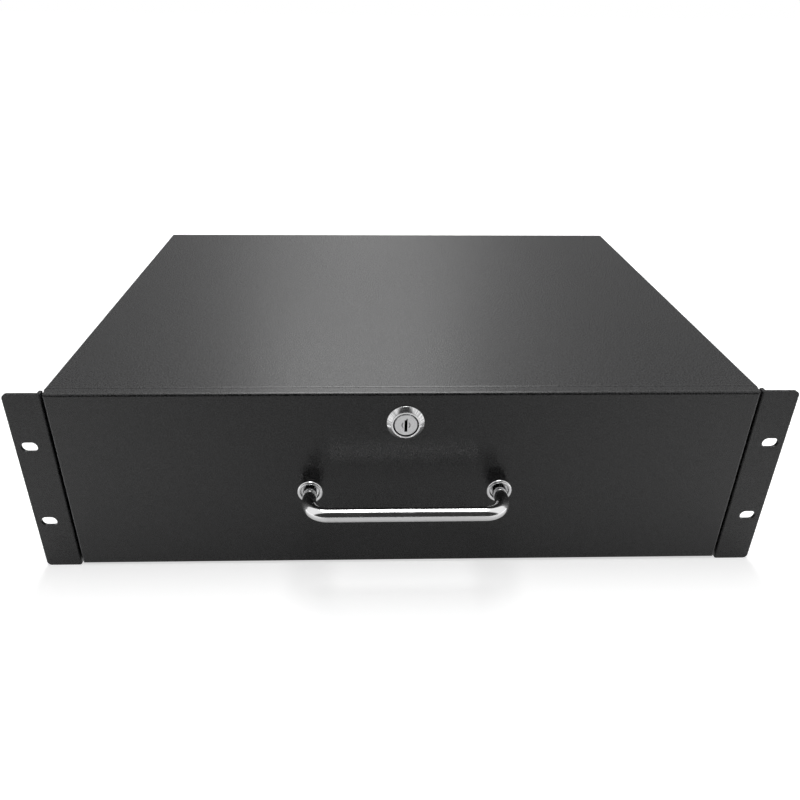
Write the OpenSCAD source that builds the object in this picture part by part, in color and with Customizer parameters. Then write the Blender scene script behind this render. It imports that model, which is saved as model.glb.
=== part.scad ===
// Lockable sliding drawer for a 19-inch rack, three rack units high.
// X runs to the right as seen from the front, Y into the rack and Z up, in millimetres.
// The origin is the middle of the four rack slots, on the plane where the ears meet the rails.

/* [Rack ears] */
// Width over both ears
rack_w = 482.6; // [482:0.1:484]
// Height of the ears
panel_h = 131; // [130.5:0.5:133]
// Distance between the two slot columns
slot_pitch_x = 465.1; // [464:0.1:466]
// Distance between the two slots of a column
slot_pitch_z = 57.15; // [50:0.05:60]
// Length of a slot
slot_l = 10.3; // [9:0.1:11]
// Width of a slot
slot_w = 6.8; // [6:0.1:7.4]
// Thickness of the ear sheet
ear_t = 2; // [1.5:0.1:2.5]
// Corner radius at the outside of an ear
ear_corner_r = 3; // [1:0.5:5]
// Length of the ear leg along the case wall
ear_leg = 34; // [30:1:40]
// Length of the full-height return beside the drawer front
ear_return = 3; // [2:0.5:5]

/* [Case] */
// Width over the side walls
case_w = 438; // [436:0.5:439]
// Depth from the seam behind the drawer front to the rear edge
case_d = 342.4; // [340:0.2:352]
// Thickness of the case and tray sheet
sheet_t = 1.2; // [1:0.1:1.4]
// Outside radius of the folds
bend_r = 2; // [1.8:0.1:2.5]
// Height of the lips turned down at the front and rear of the top
lip_h = 12; // [11.5:0.5:12.5]
// Height of the base pan flanges
base_flange = 14; // [12:0.5:16]

/* [Drawer] */
// Distance from the ear plane to the seam behind the drawer front
seam_y = 5.4; // [5:0.1:8]
// Gap between the drawer front and the case behind it
reveal = 0.4; // [0.3:0.1:1]
// Gap on each side of the drawer front
side_gap = 2; // [1:0.1:2.5]
// Gap under the drawer front
bottom_gap = 1; // [1:0.1:3]
// How far the drawer front stands out of the ear faces
front_proud = 0.4; // [0:0.1:1]
// Thickness of the drawer front sheet
front_t = 1.5; // [1.2:0.1:2]
// Depth of the tray
tray_d = 324; // [312:1:330]
// Height of the tray walls
tray_h = 103; // [90:1:104]
// Clearance between the tray floor and the lower edge of the drawer front
tray_lift = 3.2; // [2:0.1:5]
// Height of the hem on the tray walls
hem_h = 8; // [5:0.5:12]

/* [Handle] */
// Distance between the handle legs
handle_pitch = 120; // [96:1:160]
// Diameter of the handle rod
handle_d = 8.8; // [7:0.2:9]
// Height of the handle over the drawer front
handle_h = 38.3; // [35:0.1:50]
// Height of the handle above the middle of the rack slots
handle_z = 0.5; // [-10:0.5:10]
// Radius of the rod's middle line in a bend
handle_bend_r = 12; // [9:0.5:16]
// Diameter of a ferrule over its bead
ferrule_d = 16.2; // [15.6:0.1:18]
// Length of a ferrule
ferrule_l = 10.8; // [9:0.1:14]

/* [Lock] */
// Height of the lock above the middle of the rack slots
lock_z = 45; // [44:0.25:45.25]
// Diameter of the lock bezel
bezel_d = 23.6; // [22:0.2:26]
// Diameter of the raised ring of the bezel
ring_d = 18; // [17.4:0.1:18.6]
// Height of the ring over the drawer front
ring_h = 3.5; // [3:0.1:5]
// Length of the lock barrel under the bezel
barrel_l = 11; // [10.5:0.5:12]
// Reach of the cam from the lock axis to its tip
cam_l = 17.5; // [16.5:0.5:18]

/* [Slides] */
// Length of the outer member
slide_l = 300; // [290:1:305]
// Height of the slide middle line above the middle of the rack slots
slide_z = -12; // [-20:1:-8]
// Thickness of a slide from the case wall to the tray
slide_w = 12.7; // [12.5:0.1:13]
// Number of balls in one row of a cage
ball_count = 8; // [4:1:10]

/* [Hidden] */
$fn = 48;
// overshoot of cutting shapes
cut = 1;
// assembly gaps between sheets, and running clearance of the lock plug
slack = 0.15;
run = 0.08;
black = [0.13, 0.13, 0.14];
zinc = [0.72, 0.73, 0.74];
chrome = [0.86, 0.87, 0.88];
dark = [0.08, 0.08, 0.08];

// case planes
half_h = panel_h / 2;
case_x = case_w / 2;
wall_x = case_x - sheet_t;
case_y1 = seam_y + case_d;
bend_in = bend_r - sheet_t;
rear_y = case_y1 - sheet_t;
floor_z = -half_h + sheet_t;

// ear planes
ear_bend = 1.2;
ear_in_r = 0.6;
ear_lap = 0.5;
ear_x = case_x - ear_lap;
ear_leg_half = half_h - 6;
ear_screw_y = 20;

// drawer planes
front_y = -ear_t - front_proud;
front_y1 = seam_y - reveal;
front_x = case_x - side_gap;
front_z0 = -half_h + bottom_gap;
top_proud = 0.1;
front_z1 = half_h + top_proud;
front_in = bend_r - front_t;
side_r = 1.2;
plate_y = front_y + front_t;
tray_x = wall_x - slide_w;
tray_z0 = front_z0 + tray_lift;
tray_z1 = tray_z0 + tray_h;
tray_y1 = plate_y + tray_d;
flange_w = front_x - front_t - tray_x - cut;
flange_h = 12;

// pan head screws and their clearance holes
screw_r = 2;
hole_r = screw_r + slack;
head_r = 4;
head_h = 2.4;
dome_r = 6;
recess_w = 0.9;
recess_l = 4.4;
recess_d = 1.3;
tip = 0.5;
nut_r = 3.6;
nut_h = 2.6;

// screw places
ear_screw_z = [base_flange + nut_r + cut - half_h, 24, 48];
base_screw_y = [60, 170, 280];
base_screw_z = -half_h + 8;
rear_screw_x = [-150, 0, 150];
rear_top_z = half_h - 7;
rear_side_z = [-20, 36];
rear_flange = 14;
rear_side_y = rear_y - 8;
rear_z0 = -half_h + base_flange + cut;
rear_z1 = half_h - sheet_t - cut;

// handle
rod_r = handle_d / 2;
leg_x = handle_pitch / 2;
rod_axis = handle_h - rod_r;
handle_tap = 14;
washer_r = 5.5;
washer_t = 0.8;
bead_r = 1.15;
bead_step = 0.45;
sleeve_r = ferrule_d / 2 - bead_step;
cup_r = ferrule_d / 2 - 2 * bead_r;
cup_d = 6;

// lock, measured along its axis out of the drawer front
bezel_r = bezel_d / 2;
ring_r = ring_d / 2;
barrel_r = 9;
flat_z = 8;
plug_r = 7.2;
body_r = 5.9;
step_s = -1;
rim_s = 0.5;
ring_foot = 0.3;
ring_drop = 0.8;
mouth_r = ring_r - 0.9;
groove_d = 1.2;
plug_s = ring_h - 0.4;
plug_edge = 0.3;
tail = 7;
cam_t = 2;
cam_gap = 0.2;
cam_w = 12;
cam_r = 4;
hub_r = 7;
key_w = 1.8;
key_h = 8;
key_d = 9;
key_ring_r = 2.5;
key_ring_d = 0.4;
lock_washer_t = 0.6;
lock_washer_r = 12;
lock_nut_h = 3;
lock_nut_r = 12.7;

// slide section, u from the case wall and v up from the slide middle
strip = 1.2;
ball_r = 1.9;
race_r = ball_r + 0.3;
curl_r = race_r + strip;
outer_u = 6.4;
outer_v = 18.6;
inner_u = 8.2;
inner_v = 13;
outer_half = outer_v + curl_r;
middle_half = inner_v + curl_r;
inner_half = inner_v - race_r;
middle_web = 3.4;
fold_r = 1.8;
fold_in = fold_r - strip;
curl_end = -30;
hook_end = 230;
slide_y0 = seam_y + 2.6;
slide_y1 = slide_y0 + slide_l;
middle_y0 = slide_y0 + 1;
middle_y1 = slide_y1 - 3;
cage_l = 140;
cage_y0 = slide_y0 + 80;
cage_t = 0.6;
cage_edge = 7;
pocket_r = ball_r - 0.03;
outer_cage_u = [2, 8.2];
inner_cage_u = [5, 10];
window_l = 30;
window_h = 10;
window_pitch = 42;
bumper_t = 2.5;
case_slide_y = [50, 165, 280];
tray_slide_y = [40, 160, 280];
port_l = 16;
port_r = 4;

// Sweeps a flat (y, z) section along X
module along_x(from, to)
    translate([from, 0, 0]) rotate([90, 0, 90]) linear_extrude(to - from) children();

// Sweeps a flat (x, z) section along Y
module along_y(from, to)
    translate([0, to, 0]) rotate([90, 0, 0]) linear_extrude(to - from) children();

// Sweeps a flat (x, y) section along Z
module along_z(from, to)
    translate([0, 0, from]) linear_extrude(to - from) children();

// Turns a piece built along +Z to point along a main axis
module facing(side) {
    turn = side == "left" ? [0, -90, 0] : side == "right" ? [0, 90, 0]
         : side == "front" ? [90, 0, 0] : [-90, 0, 0];
    rotate(turn) children();
}

// Waste outside a rounded corner, with the corner's outward signs
module corner(a, b, sa, sb, r)
    difference() {
        translate([a - (sa > 0 ? r : 0), b - (sb > 0 ? r : 0)]) square(r);
        translate([a - sa * r, b - sb * r]) circle(r);
    }

// Rectangle from (a0, b0) to (a1, b1) with four corner radii, counted round from (a0, b0)
module box2(a0, b0, a1, b1, r = [0, 0, 0, 0])
    difference() {
        translate([a0, b0]) square([a1 - a0, b1 - b0]);
        if (r[0] > 0) corner(a0, b0, -1, -1, r[0]);
        if (r[1] > 0) corner(a1, b0, 1, -1, r[1]);
        if (r[2] > 0) corner(a1, b1, 1, 1, r[2]);
        if (r[3] > 0) corner(a0, b1, -1, 1, r[3]);
    }

// Block between two corners, rounded along Y by two radii of its (x, z) section
// and along X by two radii of its (y, z) section
module folded(low, high, xz, yz)
    intersection() {
        along_y(low.y, high.y) box2(low.x, low.z, high.x, high.z, xz);
        along_x(low.x, high.x) box2(low.y, low.z, high.y, high.z, yz);
    }

// Hole along X through both side walls
module side_holes(y, z, r)
    for (side = [-1, 1])
        translate([side * (tray_x + case_x) / 2, y, z]) rotate([0, 90, 0])
            cylinder(r = r, h = case_x - tray_x + 4 * ear_t, center = true);

// Hole along Y through one sheet
module sheet_hole(x, y, z, r)
    translate([x, y, z]) rotate([90, 0, 0]) cylinder(r = r, h = 6 * sheet_t, center = true);

// Screw with a domed cross-recess head, standing on its seat with the shank below
module pan_screw(length)
    difference() {
        union() {
            intersection() {
                cylinder(r = head_r, h = head_h);
                translate([0, 0, head_h - dome_r]) sphere(dome_r);
            }
            translate([0, 0, -length]) cylinder(r = screw_r, h = length + head_h / 2);
        }
        for (turn = [0, 90])
            rotate(turn) translate([-recess_l / 2, -recess_w / 2, head_h - recess_d])
                cube([recess_l, recess_w, recess_d + cut]);
    }

// Case

module case_shell()
    color(black) difference() {
        folded([-case_x, seam_y, -half_h], [case_x, case_y1, half_h],
               [0, 0, bend_r, bend_r], [0, 0, bend_r, bend_r]);
        folded([-wall_x, seam_y + sheet_t, -half_h - cut], [wall_x, rear_y, half_h - sheet_t],
               [0, 0, bend_in, bend_in], [0, 0, bend_in, bend_in]);
        translate([-wall_x, seam_y - cut, -half_h - cut])
            cube([2 * wall_x, case_d + 2 * cut, panel_h - lip_h + cut]);
        for (z = ear_screw_z) side_holes(ear_screw_y, z, hole_r);
        for (y = base_screw_y) side_holes(y, base_screw_z, hole_r);
        for (z = rear_side_z) side_holes(rear_side_y, z, hole_r);
        for (y = case_slide_y) side_holes(y, slide_z, hole_r);
        for (x = rear_screw_x) sheet_hole(x, case_y1, rear_top_z, hole_r);
    }

module base_pan()
    color(black) difference() {
        folded([-wall_x, seam_y, -half_h], [wall_x, case_y1, -half_h + base_flange],
               [bend_r, bend_r, 0, 0], [0, bend_r, 0, 0]);
        folded([-wall_x + sheet_t, seam_y - cut, floor_z],
               [wall_x - sheet_t, rear_y, -half_h + base_flange + cut],
               [bend_in, bend_in, 0, 0], [0, bend_in, 0, 0]);
        for (y = base_screw_y) side_holes(y, base_screw_z, hole_r);
        for (x = rear_screw_x) sheet_hole(x, case_y1, base_screw_z, hole_r);
    }

module rear_panel()
    color(black) difference() {
        union() {
            along_z(rear_z0, rear_z1) difference() {
                box2(-wall_x, rear_y - rear_flange, wall_x, rear_y, [0, 0, bend_r, bend_r]);
                box2(-wall_x + sheet_t, rear_y - rear_flange - cut, wall_x - sheet_t, rear_y - sheet_t,
                     [0, 0, bend_in, bend_in]);
            }
            translate([-wall_x + 2 * bend_r, rear_y - sheet_t, floor_z + cut])
                cube([2 * wall_x - 4 * bend_r, sheet_t, rear_z0 - floor_z]);
        }
        for (z = rear_side_z) side_holes(rear_side_y, z, hole_r);
        for (x = rear_screw_x, z = [base_screw_z, rear_top_z]) sheet_hole(x, case_y1, z, hole_r);
    }

module rack_ear_left()
    color(black) difference() {
        intersection() {
            union() {
                along_z(-half_h, half_h) box2(-rack_w / 2, -ear_t, -ear_x, 0, [0, ear_bend, 0, 0]);
                along_z(-half_h, half_h)
                    box2(-ear_x - ear_t, -ear_t, -ear_x, ear_return, [0, ear_bend, 0, 0]);
                along_z(-ear_leg_half, ear_leg_half) box2(-case_x - ear_t, -ear_t, -case_x, ear_leg);
            }
            along_y(-ear_t - cut, ear_leg + cut)
                box2(-rack_w / 2, -half_h, -ear_x, half_h,
                     [ear_corner_r, ear_in_r, ear_in_r, ear_corner_r]);
        }
        for (side = [-1, 1])
            translate([-slot_pitch_x / 2, 0, side * slot_pitch_z / 2])
                along_y(-ear_t - cut, cut) rack_slot();
        for (z = ear_screw_z) side_holes(ear_screw_y, z, hole_r);
    }

module rack_slot() {
    square([slot_l - slot_w, slot_w], center = true);
    for (side = [-1, 1])
        translate([side * (slot_l - slot_w) / 2, 0]) circle(d = slot_w);
}

module rack_ear_right() mirror([1, 0, 0]) rack_ear_left();

// Screws along X on both sides of the case, heads outside at the given half width
module side_screws(x, y, z, length) {
    translate([-x, y, z]) facing("left") pan_screw(length);
    translate([x, y, z]) facing("right") pan_screw(length);
}

module ear_screws()
    color(zinc) for (z = ear_screw_z)
        side_screws(case_x + ear_t, ear_screw_y, z, ear_t + sheet_t + nut_h + tip);

module ear_nuts()
    color(zinc) for (z = ear_screw_z, side = ["left", "right"])
        translate([side == "left" ? -wall_x : wall_x, ear_screw_y, z])
            facing(side == "left" ? "right" : "left") difference() {
                cylinder(r = nut_r, h = nut_h);
                translate([0, 0, -cut]) cylinder(r = hole_r, h = nut_h + 2 * cut);
            }

module base_screws()
    color(dark) for (y = base_screw_y)
        side_screws(case_x, y, base_screw_z, 2 * sheet_t + tip);

module rear_screws()
    color(dark) {
        for (x = rear_screw_x, z = [base_screw_z, rear_top_z])
            translate([x, case_y1, z]) facing("rear") pan_screw(2 * sheet_t + tip);
        for (z = rear_side_z) side_screws(case_x, rear_side_y, z, 2 * sheet_t + tip);
    }

// Slides, drawn for the left side

module on_left(from, to)
    translate([-wall_x, 0, slide_z]) along_y(from, to) children();

module both_halves() {
    children();
    mirror([0, 1]) children();
}

// Rolled edge round a ball row, between two angles
module curl(u, v, from, to)
    translate([u, v]) intersection() {
        difference() {
            circle(curl_r);
            circle(race_r);
        }
        polygon(concat([[0, 0]], [for (i = [0:4]) let (a = from + (to - from) * i / 4)
                                  2 * curl_r * [cos(a), sin(a)]]));
    }

module outer_section() {
    difference() {
        box2(0, -outer_half, outer_u, outer_half, [fold_r, 0, 0, fold_r]);
        box2(strip, -outer_half + strip, outer_u + cut, outer_half - strip, [fold_in, 0, 0, fold_in]);
    }
    both_halves() curl(outer_u, outer_v, curl_end, 90);
}

module middle_section() {
    difference() {
        box2(middle_web, -middle_half, inner_u, middle_half, [fold_r, 0, 0, fold_r]);
        box2(middle_web + strip, -middle_half + strip, inner_u + cut, middle_half - strip,
             [fold_in, 0, 0, fold_in]);
    }
    both_halves() curl(inner_u, inner_v, curl_end, 90);
}

module inner_section() {
    difference() {
        box2(inner_u, -inner_half, slide_w, inner_half, [0, fold_r, fold_r, 0]);
        box2(inner_u - cut, -inner_half + strip, slide_w - strip, inner_half - strip,
             [0, fold_in, fold_in, 0]);
    }
    both_halves() curl(inner_u, inner_v, hook_end, 270);
}

module slide_outer_left()
    color(zinc) difference() {
        on_left(slide_y0, slide_y1) outer_section();
        for (y = case_slide_y) side_holes(y, slide_z, hole_r);
    }

module slide_middle_left()
    color(zinc) difference() {
        on_left(middle_y0, middle_y1) middle_section();
        for (y = case_slide_y)
            translate([-wall_x + middle_web + strip / 2, y, slide_z]) rotate([0, 90, 0])
                linear_extrude(2 * strip, center = true) {
                    square([2 * port_r, port_l - 2 * port_r], center = true);
                    for (side = [-1, 1])
                        translate([0, side * (port_l / 2 - port_r)]) circle(port_r);
                }
    }

module slide_inner_left()
    color(zinc) difference() {
        on_left(slide_y0, middle_y1) inner_section();
        for (y = tray_slide_y) side_holes(y, slide_z, hole_r);
    }

module slide_outer_right() mirror([1, 0, 0]) slide_outer_left();
module slide_middle_right() mirror([1, 0, 0]) slide_middle_left();
module slide_inner_right() mirror([1, 0, 0]) slide_inner_left();

// Ball retainer: a windowed web with two pocketed arms
module cage(span, row_u, row_v)
    color(zinc) difference() {
        on_left(cage_y0, cage_y0 + cage_l) difference() {
            box2(span[0], -row_v - cage_t / 2, span[1], row_v + cage_t / 2);
            box2(span[0] + cage_t, -row_v + cage_t / 2, span[1] + cut, row_v - cage_t / 2);
        }
        at_balls(row_u, row_v) cylinder(r = pocket_r, h = 4 * cage_t, center = true);
        for (i = [-1:1])
            translate([-wall_x + span[0] - cut, cage_y0 + (cage_l - window_l) / 2 + i * window_pitch,
                       slide_z - window_h])
                cube([2 * cut + cage_t, window_l, 2 * window_h]);
    }

module at_balls(row_u, row_v)
    for (i = [0:ball_count - 1], side = [-1, 1])
        translate([-wall_x + row_u,
                   cage_y0 + cage_edge + i * (cage_l - 2 * cage_edge) / (ball_count - 1),
                   slide_z + side * row_v])
            children();

module outer_cage_left() cage(outer_cage_u, outer_u, outer_v);
module inner_cage_left() cage(inner_cage_u, inner_u, inner_v);
module outer_balls_left() color(chrome) at_balls(outer_u, outer_v) sphere(ball_r);
module inner_balls_left() color(chrome) at_balls(inner_u, inner_v) sphere(ball_r);
module outer_cage_right() mirror([1, 0, 0]) outer_cage_left();
module inner_cage_right() mirror([1, 0, 0]) inner_cage_left();
module outer_balls_right() mirror([1, 0, 0]) outer_balls_left();
module inner_balls_right() mirror([1, 0, 0]) inner_balls_left();

module slide_bumper_left()
    color(dark) on_left(slide_y1 - bumper_t, slide_y1)
        box2(strip, -outer_half + strip, outer_u, outer_half - strip, [fold_in, 0, 0, fold_in]);

module slide_bumper_right() mirror([1, 0, 0]) slide_bumper_left();

module slide_case_screws()
    color(zinc) for (y = case_slide_y)
        side_screws(case_x, y, slide_z, sheet_t + strip + tip / 2);

module slide_tray_screws()
    color(zinc) for (y = tray_slide_y) {
        translate([-tray_x + sheet_t, y, slide_z]) facing("right") pan_screw(sheet_t + strip + tip);
        translate([tray_x - sheet_t, y, slide_z]) facing("left") pan_screw(sheet_t + strip + tip);
    }

// Drawer

module drawer_front()
    color(black) difference() {
        front_block(front_x, front_y, front_z0, front_z1, bend_r, front_y1, side_r);
        front_block(front_x - front_t, plate_y, front_z0 + front_t, front_z1 - front_t, front_in,
                    front_y1 + cut, 0);
        on_lock() translate([0, 0, -2 * front_t]) linear_extrude(4 * front_t) intersection() {
            circle(barrel_r + slack);
            square(2 * [barrel_r + cut, flat_z + slack], center = true);
        }
        for (side = [-1, 1]) sheet_hole(side * leg_x, plate_y, handle_z, hole_r);
    }

// Block with its upper and lower front edges rounded by one radius and its side edges by another
module front_block(x, y0, z0, z1, r, y1, rs)
    intersection() {
        along_x(-x, x) box2(y0, z0, y1, z1, [r, 0, 0, r]);
        along_z(z0, z1) box2(-x, y0, x, y1, [rs, rs, 0, 0]);
    }

module drawer_tray()
    color(black) difference() {
        union() {
            difference() {
                folded([-tray_x, plate_y, tray_z0], [tray_x, tray_y1, tray_z1],
                       [bend_r, bend_r, 0, 0], [0, bend_r, 0, 0]);
                folded([-tray_x + sheet_t, plate_y - cut, tray_z0 + sheet_t],
                       [tray_x - sheet_t, tray_y1 - sheet_t, tray_z1 + cut],
                       [bend_in, bend_in, 0, 0], [0, bend_in, 0, 0]);
            }
            for (side = [-1, 1]) {
                translate([side * (tray_x - 1.5 * sheet_t), (plate_y + tray_y1) / 2, tray_z1 - hem_h / 2])
                    cube([sheet_t, tray_d - 2 * sheet_t, hem_h], center = true);
                translate([side * (tray_x + flange_w / 2), plate_y + sheet_t / 2, (tray_z0 + tray_z1) / 2])
                    cube([flange_w, sheet_t, tray_h - 2 * flange_h], center = true);
            }
            translate([-tray_x + sheet_t, tray_y1 - 2 * sheet_t, tray_z1 - hem_h])
                cube([2 * (tray_x - sheet_t), sheet_t, hem_h]);
            translate([-tray_x + flange_h, plate_y, tray_z0 + sheet_t])
                cube([2 * (tray_x - flange_h), sheet_t, flange_h]);
        }
        for (y = tray_slide_y) side_holes(y, slide_z, hole_r);
    }

// Handle

module at_legs()
    for (side = [-1, 1]) translate([side * leg_x, front_y, handle_z]) facing("front") children();

module handle_bar()
    color(chrome) difference() {
        translate([0, front_y, handle_z]) {
            for (side = [-1, 1]) {
                translate([side * leg_x, 0, 0]) rotate([90, 0, 0])
                    cylinder(r = rod_r, h = rod_axis - handle_bend_r);
                translate([side * (leg_x - handle_bend_r), handle_bend_r - rod_axis, 0])
                    rotate(side > 0 ? -90 : 180) rotate_extrude(angle = 90)
                        translate([handle_bend_r, 0]) circle(rod_r);
            }
            translate([-leg_x + handle_bend_r, -rod_axis, 0]) rotate([0, 90, 0])
                cylinder(r = rod_r, h = 2 * (leg_x - handle_bend_r));
        }
        at_legs() translate([0, 0, -cut]) cylinder(r = hole_r, h = handle_tap + cut);
    }

module handle_ferrule()
    rotate_extrude() difference() {
        union() {
            translate([rod_r + slack, 0])
                square([sleeve_r - rod_r - slack, ferrule_l - bead_r]);
            translate([ferrule_d / 2 - bead_r, ferrule_l - bead_r]) circle(bead_r);
        }
        translate([0, ferrule_l - cup_d]) square([cup_r, cup_d + cut]);
    }

module handle_ferrules() color(chrome) at_legs() handle_ferrule();

module handle_washers()
    color(zinc) at_legs() translate([0, 0, -front_t - washer_t]) difference() {
        cylinder(r = washer_r, h = washer_t);
        translate([0, 0, -cut]) cylinder(r = hole_r, h = washer_t + 2 * cut);
    }

module handle_screws()
    color(zinc) at_legs() translate([0, 0, -front_t - washer_t]) rotate([180, 0, 0])
        pan_screw(front_t + washer_t + handle_tap - cut);

// Lock

module on_lock() translate([0, front_y, lock_z]) facing("front") children();

module lock_housing()
    color(chrome) on_lock() difference() {
        rotate_extrude() polygon([
            [body_r + run, -barrel_l], [barrel_r, -barrel_l], [barrel_r, 0], [bezel_r, 0],
            [bezel_r, rim_s], [ring_r + ring_foot, ring_h - ring_drop], [ring_r, ring_h],
            [mouth_r, ring_h], [mouth_r, ring_h - groove_d], [plug_r + run, ring_h - groove_d],
            [plug_r + run, step_s], [body_r + run, step_s]
        ]);
        for (side = [-1, 1])
            translate([0, side * (flat_z + barrel_r), -barrel_l / 2])
                cube([2 * barrel_r, 2 * barrel_r, barrel_l], center = true);
    }

module lock_washer()
    color(zinc) on_lock() translate([0, 0, -front_t - lock_washer_t]) difference() {
        cylinder(r = lock_washer_r, h = lock_washer_t);
        translate([0, 0, -cut]) cylinder(r = barrel_r + slack, h = lock_washer_t + 2 * cut);
    }

module lock_nut()
    color(zinc) on_lock() translate([0, 0, -front_t - lock_washer_t - lock_nut_h]) difference() {
        cylinder(r = lock_nut_r, h = lock_nut_h, $fn = 6);
        translate([0, 0, -cut]) cylinder(r = barrel_r + run, h = lock_nut_h + 2 * cut);
    }

module lock_plug()
    color(chrome) on_lock() difference() {
        union() {
            rotate_extrude() polygon([
                [0, -barrel_l - cam_gap], [body_r, -barrel_l - cam_gap], [body_r, step_s + run],
                [plug_r, step_s + run], [plug_r, plug_s - plug_edge], [plug_r - plug_edge, plug_s],
                [0, plug_s]
            ]);
            translate([-tail / 2, -tail / 2, -barrel_l - cam_gap - cam_t])
                cube([tail, tail, 2 * cam_t]);
        }
        translate([-key_w / 2, -key_h / 2, plug_s - key_d]) cube([key_w, key_h, key_d + cut]);
        translate([0, 0, plug_s - key_ring_d]) cylinder(r = key_ring_r, h = key_ring_d + cut);
        translate([0, 0, -barrel_l - cam_gap - cam_t - cut])
            cylinder(r = hole_r, h = 3 * cam_t + cut);
    }

module lock_cam()
    color(zinc) on_lock() translate([0, 0, -barrel_l - cam_gap - cam_t]) linear_extrude(cam_t)
        difference() {
            union() {
                circle(hub_r);
                box2(-cam_l, -cam_w / 2, 0, cam_w / 2, [cam_r, 0, 0, cam_r]);
            }
            square(tail + slack, center = true);
        }

module cam_screw()
    color(zinc) on_lock() translate([0, 0, -barrel_l - cam_gap - cam_t]) rotate([180, 0, 0])
        pan_screw(3 * cam_t - tip);

case_shell();
base_pan();
rear_panel();
rack_ear_left();
rack_ear_right();
ear_screws();
ear_nuts();
base_screws();
rear_screws();
slide_outer_left();
slide_outer_right();
slide_bumper_left();
slide_bumper_right();
slide_case_screws();
slide_middle_left();
slide_middle_right();
outer_cage_left();
outer_cage_right();
outer_balls_left();
outer_balls_right();
inner_cage_left();
inner_cage_right();
inner_balls_left();
inner_balls_right();
slide_inner_left();
slide_inner_right();
slide_tray_screws();
drawer_front();
drawer_tray();
handle_bar();
handle_ferrules();
handle_washers();
handle_screws();
lock_housing();
lock_washer();
lock_nut();
lock_plug();
lock_cam();
cam_screw();
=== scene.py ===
"""Studio scene of a lockable rack drawer: finishes for the solids, finer metalwork and a plain stage."""
from math import cos, pi, radians, sin, sqrt

import bmesh
import bpy
from mathutils import Matrix, Vector


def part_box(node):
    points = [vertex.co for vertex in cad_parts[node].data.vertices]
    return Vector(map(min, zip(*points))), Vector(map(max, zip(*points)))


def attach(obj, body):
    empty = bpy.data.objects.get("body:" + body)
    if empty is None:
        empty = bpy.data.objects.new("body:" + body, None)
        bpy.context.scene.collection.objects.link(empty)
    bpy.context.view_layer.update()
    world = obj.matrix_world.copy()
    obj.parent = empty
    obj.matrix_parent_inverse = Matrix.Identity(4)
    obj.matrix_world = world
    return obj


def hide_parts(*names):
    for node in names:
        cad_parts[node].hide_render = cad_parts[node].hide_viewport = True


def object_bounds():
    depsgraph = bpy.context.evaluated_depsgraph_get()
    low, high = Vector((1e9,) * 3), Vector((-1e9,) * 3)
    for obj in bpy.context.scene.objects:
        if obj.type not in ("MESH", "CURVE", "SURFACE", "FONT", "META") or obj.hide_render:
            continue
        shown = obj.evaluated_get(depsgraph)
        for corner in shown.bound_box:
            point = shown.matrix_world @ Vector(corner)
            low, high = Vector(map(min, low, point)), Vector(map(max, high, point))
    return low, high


bl_info = {
    "name": "Rack Drawer Studio",
    "version": (1, 0, 0),
    "blender": (4, 5, 0),
    "location": "3D View > Sidebar > Rack Drawer",
    "description": "Dresses a lockable rack drawer in its finishes and sets it on a plain stage",
    "category": "Object",
}

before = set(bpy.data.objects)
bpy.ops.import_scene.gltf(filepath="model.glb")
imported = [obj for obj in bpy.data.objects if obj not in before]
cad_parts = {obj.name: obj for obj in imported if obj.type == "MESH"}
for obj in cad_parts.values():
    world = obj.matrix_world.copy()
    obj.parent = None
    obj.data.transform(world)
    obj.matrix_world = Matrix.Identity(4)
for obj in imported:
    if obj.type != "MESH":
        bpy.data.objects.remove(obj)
CAD_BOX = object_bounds()

# Places of the factor, the two colours and the result on a Mix node that mixes colours
MIX_INPUTS = (0, 6, 7)
MIX_RESULT = 2
WHITE = (1.0, 1.0, 1.0, 1.0)
# Rays that feel for a sharp edge at each point of a finish
EDGE_SAMPLES = 4
# Corners closer together than this are merged, in metres
WELD = 1e-6
# Faces of a carved piece are found again within this distance
HAIR = 1e-5


# Wiring of the finishes

def new_finish(name):
    """An empty node material with its shader and the surface coordinates."""
    material = bpy.data.materials.new(name)
    material.use_nodes = True
    tree = material.node_tree
    coords = tree.nodes.new("ShaderNodeTexCoord").outputs["Object"]
    return material, tree, tree.nodes["Principled BSDF"], coords


def feed(tree, socket, value):
    """Links the output of a node to a socket, or sets a plain number or colour on it."""
    if isinstance(value, bpy.types.NodeSocket):
        tree.links.new(value, socket)
    else:
        socket.default_value = value


def wired(tree, kind, *values, **choices):
    """A new node with its choices made and its first sockets fed in order."""
    node = tree.nodes.new(kind)
    for choice, setting in choices.items():
        setattr(node, choice, setting)
    for socket, value in zip(node.inputs, values):
        feed(tree, socket, value)
    return node


def set_shader(tree, shader, looks):
    """Feeds the named sockets of a shader."""
    for name, value in looks.items():
        feed(tree, shader.inputs[name], value)


def mapped(tree, coords, scale, move=(0.0, 0.0, 0.0)):
    """The coordinates squeezed along each axis and then moved."""
    node = tree.nodes.new("ShaderNodeMapping")
    node.inputs["Scale"].default_value = scale
    node.inputs["Location"].default_value = move
    tree.links.new(coords, node.inputs["Vector"])
    return node.outputs["Vector"]


def speckle(tree, coords, size, detail=2.0):
    """Soft cloudy spots of about the given width."""
    node = tree.nodes.new("ShaderNodeTexNoise")
    node.inputs["Scale"].default_value = 1.0 / size
    node.inputs["Detail"].default_value = detail
    tree.links.new(coords, node.inputs["Vector"])
    return node.outputs["Fac"]


def ranged(tree, value, low=0.0, high=1.0, start=0.3, end=0.7):
    """The value moved from the span start to end into the span low to high."""
    node = tree.nodes.new("ShaderNodeMapRange")
    for socket, number in zip(("From Min", "From Max", "To Min", "To Max"), (start, end, low, high)):
        node.inputs[socket].default_value = number
    tree.links.new(value, node.inputs["Value"])
    return node.outputs["Result"]


def around(tree, value, middle, reach):
    """The value moved into a span on both sides of a middle number."""
    return ranged(tree, value, middle - reach, middle + reach)


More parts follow.
